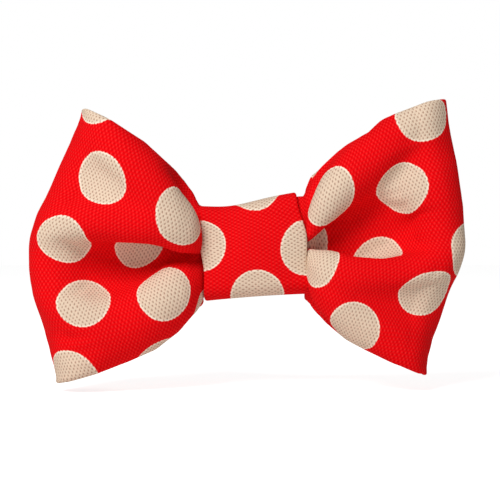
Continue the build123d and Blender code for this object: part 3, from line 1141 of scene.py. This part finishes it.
RIGHT_TOP_EDGE = (
    (14.0, 17.4), (15.5, 19.2), (19.7, 23.4), (23.8, 26.6), (29.6, 29.8), (32.8, 32.9),
    (35.9, 34.3), (44.6, 37.5), (49.8, 38.6),
)
RIGHT_BOTTOM_EDGE = (
    (13.9, -13.6), (16.4, -16.8), (19.3, -19.9), (23.8, -23.6), (28.8, -26.3), (34.2, -28.8),
    (43.9, -32.8),
)
RIGHT_WING = Wing(
    side=Side.RIGHT,
    length=44.5,
    eased_in=((-37.5, 0.95), (-25.0, 0.92), (-12.0, 0.91), (-2.0, 1.0), (37.5, 1.0)),
    front_pleats=(
        (37.5, -5.8, 13.0), (34.0, -7.6, 12.6), (30.0, -8.9, 10.4), (24.0, -9.1, 6.8),
        (19.5, -9.0, 3.4), (17.0, -8.4, 1.9), (15.0, -7.8, 3.2), (11.5, -7.6, 6.2),
        (10.0, -7.0, 7.0), (8.5, -6.5, 6.0), (5.0, -6.3, 2.0), (1.5, -6.3, -3.6), (0.0, -6.8, -5.0),
        (-1.5, -7.3, -4.2), (-5.5, -7.5, -1.6), (-8.0, -8.2, -0.6), (-11.0, -8.9, -1.6),
        (-17.0, -9.1, -4.2), (-26.0, -8.9, -7.6), (-33.0, -7.6, -9.7), (-37.5, -5.8, -10.4),
    ),
    back_pleats=(
        (37.5, -4.2, 12.8), (32.0, -2.4, 12.0), (26.0, -1.6, 9.5), (18.0, -1.6, 6.6),
        (11.0, -2.3, 4.6), (4.0, -3.3, 3.0), (-3.0, -3.3, 1.4), (-11.0, -2.3, -0.8),
        (-18.0, -1.7, -3.8), (-29.0, -1.6, -8.3), (-33.0, -2.4, -9.6), (-37.5, -4.2, -10.2),
    ),
    top_edge=RIGHT_TOP_EDGE,
    bottom_edge=RIGHT_BOTTOM_EDGE,
    fold=(
        (51.7, -8.5, 38.6), (51.7, -8.6, 32.1), (52.5, -8.8, 25.8), (53.5, -8.8, 13.0),
        (53.9, -8.6, 0.8), (52.7, -8.4, -8.6), (49.9, -8.2, -16.8), (46.5, -8.0, -24.0),
        (43.4, -8.0, -32.8),
    ),
    guides=(
        Guide(37.5, RIGHT_TOP_EDGE, 0.25),
        Guide(37.5, RIGHT_TOP_EDGE, 0.25, Layer.BACK),
        Guide(-37.5, RIGHT_BOTTOM_EDGE, 0.4),
        Guide(-37.5, RIGHT_BOTTOM_EDGE, 0.4, Layer.BACK),
        Guide(17.0, ((13.5, 2.0), (17.2, 6.0), (22.4, 9.1), (31.5, 15.1)), 0.12, forward=0.03),
        Guide(-1.0, ((13.5, -5.0), (22.9, -6.6), (32.0, -6.2)), 0.12, forward=-0.02),
        Guide(-8.0, ((13.5, -1.7), (22.9, -2.9), (37.0, -3.9)), 0.2, forward=0.01),
    ),
    presses=(
        Press((17.0, 3.5), (31.0, 12.0), 3.0, 0.16),
        Press((31.0, 12.0), (41.0, 27.0), 2.5, 0.2),
        Press((19.0, 13.0), (36.0, 29.0), 4.0, -0.04),
        Press((38.0, 9.0), (45.0, 22.0), 4.0, -0.04),
        Press((20.0, -19.0), (40.0, -28.0), 4.0, -0.03),
        Press((40.0, 3.0), (50.0, 2.0), 3.5, 0.03),
    ),
    dots=(
        (10.2, 24.6), (29.2, 17.0), (37.9, 34.3), (19.6, -1.8), (5.8, -15.2), (0.2, 5.6),
        (37.6, -14.8), (20.7, -28.2), (46.0, -2.3),
    ),
)


# -------------------------------------------------------------------------------------- the bow
@dataclass
class Bow:
    """The tube of cloth, folded into a loop and gathered at the waist, and its interlining."""

    wings: tuple[Wing, Wing] = (LEFT_WING, RIGHT_WING)
    maker: WingMaker = field(default_factory=WingMaker)
    thickness: float = 1.1
    interlining: float = 0.45  # its thickness
    edge_turn: int = 1  # columns that the interlining stops short of each edge
    fineness: float = 0.7  # mm between the finished mesh's points
    fold_margin: float = 4.0  # how far behind the outer folds the lattice of dots begins
    waist_squares: int = 21  # grid squares across the waist, inside the knot
    waist_pinch: float = 0.22  # how much of its size the waist loses under the thread
    waist_middle: tuple[float, float] = (-5.1, -0.2)  # (y, z)
    cloth: PrintedDuck = field(default_factory=PrintedDuck)

    def crossing(self, start: np.ndarray, end: np.ndarray) -> np.ndarray:
        """The gathered cloth inside the knot, between the two wings.

        Formula: each line across the cloth turns from one wing's pleats to the other's by a
        smooth step, and is drawn in towards the waist's middle by a sine of the way.

        Args:
            start: the pleats' points at the side that the cloth comes from.
            end: those at the side that it goes to.

        Returns:
            The rows between the two, [row, column, xyz].
        """
        share = (np.arange(1, self.waist_squares) / self.waist_squares)[:, None, None]
        places = start + (end - start) * eased(share)
        places[..., 0] = start[0, 0] + (end[0, 0] - start[0, 0]) * share[..., 0]
        middle = np.array(self.waist_middle)
        draw = 1 - self.waist_pinch * np.sin(np.pi * share) ** 2
        places[..., 1:] = middle + (places[..., 1:] - middle) * draw
        return places

    def loop(self) -> np.ndarray:
        """The whole loop's middle surface, from the right wing's front round to its start.

        Returns:
            The grid's points, [row, column, xyz]. Its rows close on themselves.
        """
        left, right = (self.maker.shape(wing) * [wing.side.value, 1, 1] for wing in self.wings)
        left = left[::-1]
        log.info("wings shaped: %d and %d rows", len(left), len(right))
        behind = self.crossing(right[-1], left[0])
        before = self.crossing(left[-1], right[0])
        return np.concatenate([right, behind, left, before])

    def refined(self, middle: np.ndarray) -> tuple[np.ndarray, np.ndarray, np.ndarray]:
        """Reads the loop more finely, along smooth curves both ways.

        Args:
            middle: the loop's middle surface.

        Returns:
            The finer surface, the length along the cloth at each row with one more for the
            closing row, and the place across it at each column.
        """
        square = self.maker.square
        rows, columns = middle.shape[:2]
        fine_rows = round(rows * square / self.fineness)
        fine_columns = round((columns - 1) * square / self.fineness) + 1
        closed = np.concatenate([middle[-2:], middle, middle[:3]])
        along = flowing(closed, 2 + np.arange(fine_rows) * rows / fine_rows)
        share = np.linspace(0, columns - 1, fine_columns)
        fine = flowing(along.swapaxes(0, 1), share).swapaxes(0, 1)
        length = np.arange(fine_rows + 1) * rows * square / fine_rows
        return fine, length, self.maker.width / 2 - share * square

    def dot_print(self, middle: np.ndarray) -> DotPrint:
        """Places the print: chosen dots on both wings' fronts, and the lattice behind.

        Args:
            middle: the loop's middle surface.

        Returns:
            The print, in the loop's own lengths.
        """
        square = self.maker.square
        left, right = self.wings
        total = len(middle) * square
        left_start = total - self.waist_squares * square + square
        chosen = [(length, tee) for length, tee in right.dots]
        chosen += [(left_start - length, tee) for length, tee in left.dots]
        return DotPrint(
            tuple(chosen),
            chosen[0],
            total,
            self.maker.width / 2,
            free_from=right.length + self.fold_margin,
            free_to=left_start - left.length - self.fold_margin,
        )

    def build(self) -> None:
        """Makes the bow's cloth and its interlining and dresses them."""
        middle = self.loop()
        places, along, across = self.refined(middle)
        skin = skin_of(places, along, across, self.thickness)
        cloth = skin.mesh("bow_cloth", self.dot_print(middle))
        dress(cloth, self.cloth.material("printed_cotton_duck"), "dotted_duck")
        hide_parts("bow_shell")
        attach(cloth, BODY)
        inset = slice(self.edge_turn, -self.edge_turn)
        square = self.maker.square
        core = skin_of(
            middle[:, inset],
            np.arange(len(middle) + 1) * square,
            self.maker.tees()[inset],
            self.interlining,
        ).mesh("bow_core")
        dress(core, FUSIBLE_INTERLINING.material(), "interlining")
        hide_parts("bow_interlining")
        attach(core, BODY)


# ------------------------------------------------------------------------------------- the knot
@dataclass
class Knot:
    """The band round the waist: a folded strip whose ends are slip-stitched together behind."""

    width: float = 27.0
    thickness: float = 1.2
    core: float = 0.4
    front: float = -11.2  # y of the band's front face
    back: float = 1.55
    half_height: float = 12.85
    corner: float = 4.2
    tilt: float = math.radians(-4.0)
    flare: float = 0.86  # how much higher the top edge stands on the right than the tilt alone
    sag: float = 1.3  # how far it dips left of its middle
    tuck: float = 1.8  # how far its right corner is drawn in
    crown: float = 1.7  # how far the front bulges over the gathers
    ripple: float = 0.25  # how unevenly its two side edges run
    hollow: float = 0.35  # how far its top and bottom draw in between the corners
    fineness: float = 0.42  # mm between the finished mesh's points
    core_fineness: float = 1.2
    section_length: float = 70.0  # about once round, which sets how many points go round
    seam_depth: float = 0.5
    seam_width: float = 0.55
    edge_turn: float = 1.2  # how far the interlining stops short of each edge
    stitches: int = 10
    stitch_reach: float = 11.0  # from the middle of the seam to its last stitch
    stitch_slant: float = 0.45
    stitch_half: float = 1.5  # half a stitch's length
    stitch_radius: float = 0.26
    ply_turn: float = 1.2  # mm of thread in which its plies turn once
    dots: Points = ((1.8, -13.9), (-1.1, 13.5), (16.4, 2.3), (-12.4, 0.0))  # (height, x) in front
    cloth: PrintedDuck = field(default_factory=PrintedDuck)

    def path(self, count: int, inset: float) -> tuple[np.ndarray, float]:
        """The band's section in (y, z): a rounded rectangle, begun at the seam behind.

        Formula: straight sides joined by quarter circles, read at even arc lengths, from the
        middle of the back round the bottom, up the front and back over the top.

        Args:
            count: how many points to return.
            inset: how far inside the band's outer face the section lies.

        Returns:
            The points and the section's length.
        """
        radius = self.corner - inset
        low_y, high_y = self.front + inset, self.back - inset
        top = self.half_height - inset
        turn = np.linspace(0, np.pi / 2, 12)
        arc_y, arc_z = radius * np.sin(turn), radius * np.cos(turn)
        corners = [
            np.column_stack([high_y - radius + arc_z, top - radius + arc_y]),
            np.column_stack([low_y + radius - arc_y, top - radius + arc_z]),
            np.column_stack([low_y + radius - arc_z, radius - top - arc_y]),
            np.column_stack([high_y - radius + arc_y, radius - top - arc_z]),
        ]
        line = np.concatenate([[[high_y, 0]], *corners, [[high_y, 0]]]) * [1, -1]
        run = np.append(0, np.cumsum(np.linalg.norm(np.diff(line, axis=0), axis=1)))
        at = np.linspace(0, run[-1], count + 1)[:-1]
        return np.column_stack([np.interp(at, run, axis) for axis in line.T]), run[-1]

    def middle(self, inset: float, width: float, fineness: float) -> tuple:
        """The strip's middle surface, tilted as the knot sits.

        Formula: the section carried along X. The front bulges by the crown times a cosine of the
        height and of the place across, the sides draw in a little at half height, and at the
        seam behind the surface dips in a bell curve. The top rises to the right by the flare,
        sags in a bell curve left of its middle and is drawn in at its right corner.

        Args:
            inset: how far inside the band's outer face the surface lies.
            width: the strip's width.
            fineness: the distance between the mesh's points.

        Returns:
            The surface, [row, column, xyz], the length along the strip at each row with one more
            for the closing row, and the place across it at each column.
        """
        section, length = self.path(round(self.section_length / fineness), inset)
        along = np.linspace(0, length, len(section) + 1)
        across = np.linspace(-width / 2, width / 2, round(width / fineness) + 1)
        y, z = section[:, :1], section[:, 1:]
        share = across[None] / (self.width / 2)
        is_front = eased((-y - 4.0) / 5.0)
        height = z / self.half_height
        lift = self.crown * is_front * np.cos(height * np.pi / 2) * (1 - share**2) ** 0.7
        from_seam = np.minimum(along[:-1], length - along[:-1])[:, None]
        dip = self.seam_depth * np.exp(-((from_seam / self.seam_width) ** 2))
        ripple = self.ripple * np.sin(z * 0.5 + 1.0) * is_front
        hollow = self.hollow * (1 - share**2) * eased((np.abs(height) - 0.85) / 0.15) * np.sign(z)
        x = across[None] + ripple * np.sign(share) * share**2
        x = x - self.tuck * eased((height - 0.2) / 0.8) * eased(share)
        sag = self.sag * np.sqrt(1 + share) * np.exp(-(((share + 0.55) / 0.6) ** 2))
        rise = (self.flare * share - sag) * eased(height)
        places = np.stack(np.broadcast_arrays(x, y - lift - dip, z - hollow + rise), axis=-1)
        return self.tilted(places), along, across

    def tilted(self, places: np.ndarray) -> np.ndarray:
        """Turns points about Y by the knot's tilt."""
        c, s = math.cos(self.tilt), math.sin(self.tilt)
        return places @ np.array([[c, 0, -s], [0, 1, 0], [s, 0, c]])

    def stitch(self, x: float) -> tuple[np.ndarray, np.ndarray]:
        """One hand stitch across the seam: two plies twisted round each other.

        Formula: a tube along a low arc that dips into the cloth at both ends. Its radius swells
        twice a turn, and the swelling turns round the tube once in every 1.2 mm, which gives
        the two plies.

        Args:
            x: the stitch's place along the seam.

        Returns:
            The tube's points and its four-cornered faces.
        """
        share = np.linspace(0, 1, 25)[:, None]
        angle = np.linspace(0, 2 * np.pi, 12, endpoint=False)[None]
        place = 2 * share - 1  # from -1 to 1 along the stitch
        run = place * self.stitch_half
        lift = self.back + 0.12 + 0.3 * (1 - place**2) - 0.55 * np.abs(place) ** 6
        swelling = 0.78 + 0.22 * np.abs(np.cos(angle - run * np.pi / self.ply_turn))
        ply = self.stitch_radius * swelling
        taper = np.where((share == 0) | (share == 1), 0.02, 1.0)
        out_x = x + self.stitch_slant * place + ply * taper * np.cos(angle)
        out_y = lift + ply * taper * np.sin(angle)
        tube = np.stack(np.broadcast_arrays(out_x, out_y, run), axis=-1)
        along, section = tube.shape[:2]
        rows, rounds = np.meshgrid(np.arange(along - 1), np.arange(section), indexing="ij")
        here, ahead, over = rows * section, (rows + 1) * section, (rounds + 1) % section
        faces = np.stack([here + rounds, ahead + rounds, ahead + over, here + over], axis=-1)
        return self.tilted(tube).reshape(-1, 3), faces.reshape(-1, 4)

    def build(self) -> None:
        """Makes the band, its interlining and its seam's stitches, and dresses them."""
        half = self.thickness / 2
        middle, along, across = self.middle(half, self.width - self.thickness, self.fineness)
        front = along[-1] / 2
        chosen = tuple((front + rise, x) for rise, x in self.dots)
        dots = DotPrint(chosen, chosen[0], along[-1], self.width / 2)
        band = skin_of(middle, along, across, self.thickness).mesh("knot_cloth", dots)
        dress(band, self.cloth.material("printed_cotton_duck_knot"), "dotted_duck")
        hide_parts("knot_band")
        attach(band, BODY)
        core_width = self.width - 2 * self.edge_turn
        middle, along, across = self.middle(half, core_width, self.core_fineness)
        core = skin_of(middle, along, across, self.core).mesh("knot_core")
        dress(core, FUSIBLE_INTERLINING.material(), "interlining")
        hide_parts("knot_interlining")
        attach(core, BODY)
        reach = np.linspace(-self.stitch_reach, self.stitch_reach, self.stitches)
        tubes = [self.stitch(x) for x in reach]
        starts = np.cumsum([0] + [len(points) for points, _ in tubes[:-1]])
        faces = np.concatenate([quads + start for start, (_, quads) in zip(starts, tubes)])
        stitches = new_piece("seam_stitches", np.concatenate([p for p, _ in tubes]), faces, {})
        dress(stitches, SPUN_THREAD.material(), "thread")
        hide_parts("knot_seam_stitches")
        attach(stitches, BODY)
        log.info("knot: %d faces and %d stitches", len(band.data.polygons), len(tubes))


# ------------------------------------------------------------------------------------- the clip
@dataclass(frozen=True)
class Clip:
    """The spring clip and the hidden threads: CAD parts that keep their shape.

    Only the springs are made anew, each as a copy of its CAD wire's mesh; a spring has one
    leg on the plate and the other on the jaw.
    """

    plated: tuple[str, ...] = (
        "clip_base",
        "left_jaw",
        "right_jaw",
        "left_hinge_pin",
        "right_hinge_pin",
    )
    sides: tuple[str, ...] = ("left", "right")
    plate_leg: float = 0.0006  # y in metres where a spring's leg on the plate ends
    jaw_leg: float = 0.0052  # and where its leg on the jaw begins
    rubbers: tuple[str, ...] = ("left_grip_pad", "right_grip_pad")
    threads: tuple[str, ...] = ("pinch_thread", "loop_join_stitches")

    def build(self) -> None:
        """Dresses the CAD parts."""
        groups = (
            (self.plated, NICKEL_PLATE, "clip_steel"),
            (self.rubbers, MOULDED_RUBBER, "grip_rubber"),
            (self.threads, SPUN_THREAD, "thread"),
        )
        for names, finish, slot in groups:
            material = finish.material()
            for name in names:
                dress(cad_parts[name], material, slot)
            log.info("%s: %s", finish.name, ", ".join(names))
        steel = DRAWN_WIRE.material()
        for side in self.sides:
            self.spring(side, steel)

    def spring(self, side: str, steel: bpy.types.Material) -> None:
        """Makes one torsion spring from its CAD wire's mesh.

        Args:
            side: which jaw it belongs to.
            steel: its material.
        """
        node = f"{side}_spring"
        wire = bpy.data.objects.new(f"{node}_wire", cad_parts[node].data.copy())
        bpy.context.scene.collection.objects.link(wire)
        dress(wire, steel, "spring_steel")
        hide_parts(node)
        start, end = (0.0, self.plate_leg, 0.0), (0.0, self.jaw_leg, 0.0)
        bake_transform(wire)
        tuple(start)
        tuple(end)


# ----------------------------------------------------------------------------------- the studio
@dataclass(frozen=True)
class Studio:
    """A pale floor, a large soft key light up on the left, and a camera straight in front."""

    floor_height: float = -0.037
    floor_size: float = 6.0
    lens: float = 100.0
    distance: float = 0.361
    aim: tuple[float, float, float] = (-0.00104, -0.006, -0.00052)
    key_place: tuple[float, float, float] = (-0.28, -0.55, 0.5)
    key_power: float = 5.0
    key_size: float = 0.3
    ambient: float = 0.22  # of the white all round, on what it lights; it is seen at 1
    glow: tuple[float, float] = (0.12, 0.78)  # the floor's own light, on the tie and as seen

    def floor(self) -> None:
        """Makes the floor: opal white acrylic, as on a light table."""
        half = self.floor_size / 2 / MM
        height = self.floor_height / MM
        corners = np.array([(-half, -half), (half, -half), (half, half), (-half, half)])
        places = np.column_stack([corners, np.full(4, height)])
        floor = new_piece("floor", places, np.array([[0, 1, 2, 3]]), {})
        material, tree, output = new_material("opal_acrylic_light_table")
        ray = add_node(tree, "ShaderNodeLightPath")
        glow = add_node(
            tree,
            "ShaderNodeMapRange",
            None,
            {"Value": ray.outputs["Is Camera Ray"], "To Min": self.glow[0], "To Max": self.glow[1]},
        )
        shader = add_node(
            tree,
            "ShaderNodeBsdfPrincipled",
            None,
            {
                "Base Color": linear("#F4F4F4"),
                "Roughness": 0.7,
                "Emission Color": linear("#FFFFFF"),
                "Emission Strength": glow.outputs[0],
            },
        )
        tree.links.new(shader.outputs[0], output.inputs["Surface"])
        floor.data.materials.append(material)
        floor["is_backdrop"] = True

    def light(self) -> None:
        """Makes the key light and the even white light all round, brighter where it is seen."""
        lamp = bpy.data.lights.new("key", "AREA")
        lamp.energy = self.key_power
        lamp.size = self.key_size
        key = bpy.data.objects.new("key", lamp)
        key.location = self.key_place
        key.rotation_euler = (-key.location).to_track_quat("-Z", "Y").to_euler()
        bpy.context.scene.collection.objects.link(key)
        world = bpy.data.worlds.new("studio")
        bpy.context.scene.world = world
        world.use_nodes = True
        tree = world.node_tree
        tree.nodes.clear()
        ray = add_node(tree, "ShaderNodeLightPath")
        strength = add_node(
            tree,
            "ShaderNodeMapRange",
            None,
            {"Value": ray.outputs["Is Camera Ray"], "To Min": self.ambient, "To Max": 1.0},
        )
        background = add_node(
            tree,
            "ShaderNodeBackground",
            None,
            {"Color": linear("#FFFFFF"), "Strength": strength.outputs[0]},
        )
        add_node(tree, "ShaderNodeOutputWorld", None, {"Surface": background.outputs[0]})

    def camera(self) -> None:
        """Makes the camera, level with the bow's middle and looking along +Y."""
        data = bpy.data.cameras.new("camera")
        data.lens = self.lens
        camera = bpy.data.objects.new("camera", data)
        camera.location = (self.aim[0], self.aim[1] - self.distance, self.aim[2])
        camera.rotation_euler = (math.pi / 2, 0, 0)
        bpy.context.scene.collection.objects.link(camera)
        bpy.context.scene.camera = camera
        bpy.context.scene.view_settings.view_transform = "Standard"

    def build(self) -> None:
        """Makes the whole studio."""
        self.floor()
        self.light()
        self.camera()
        log.info("studio: lens %.0f mm at %.2f m", self.lens, self.distance)


def main() -> None:
    """Builds the bow, the knot, the clip and the studio."""
    logging.basicConfig(level=logging.INFO, format="%(name)s: %(message)s")
    for part in (Bow(), Knot(), Clip(), Studio()):
        part.build()
    boxes = {"cad": CAD_BOX, "visual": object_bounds()}
    {name: [list(corner) for corner in box] for name, box in boxes.items()}


if __name__ == "__main__":
    main()
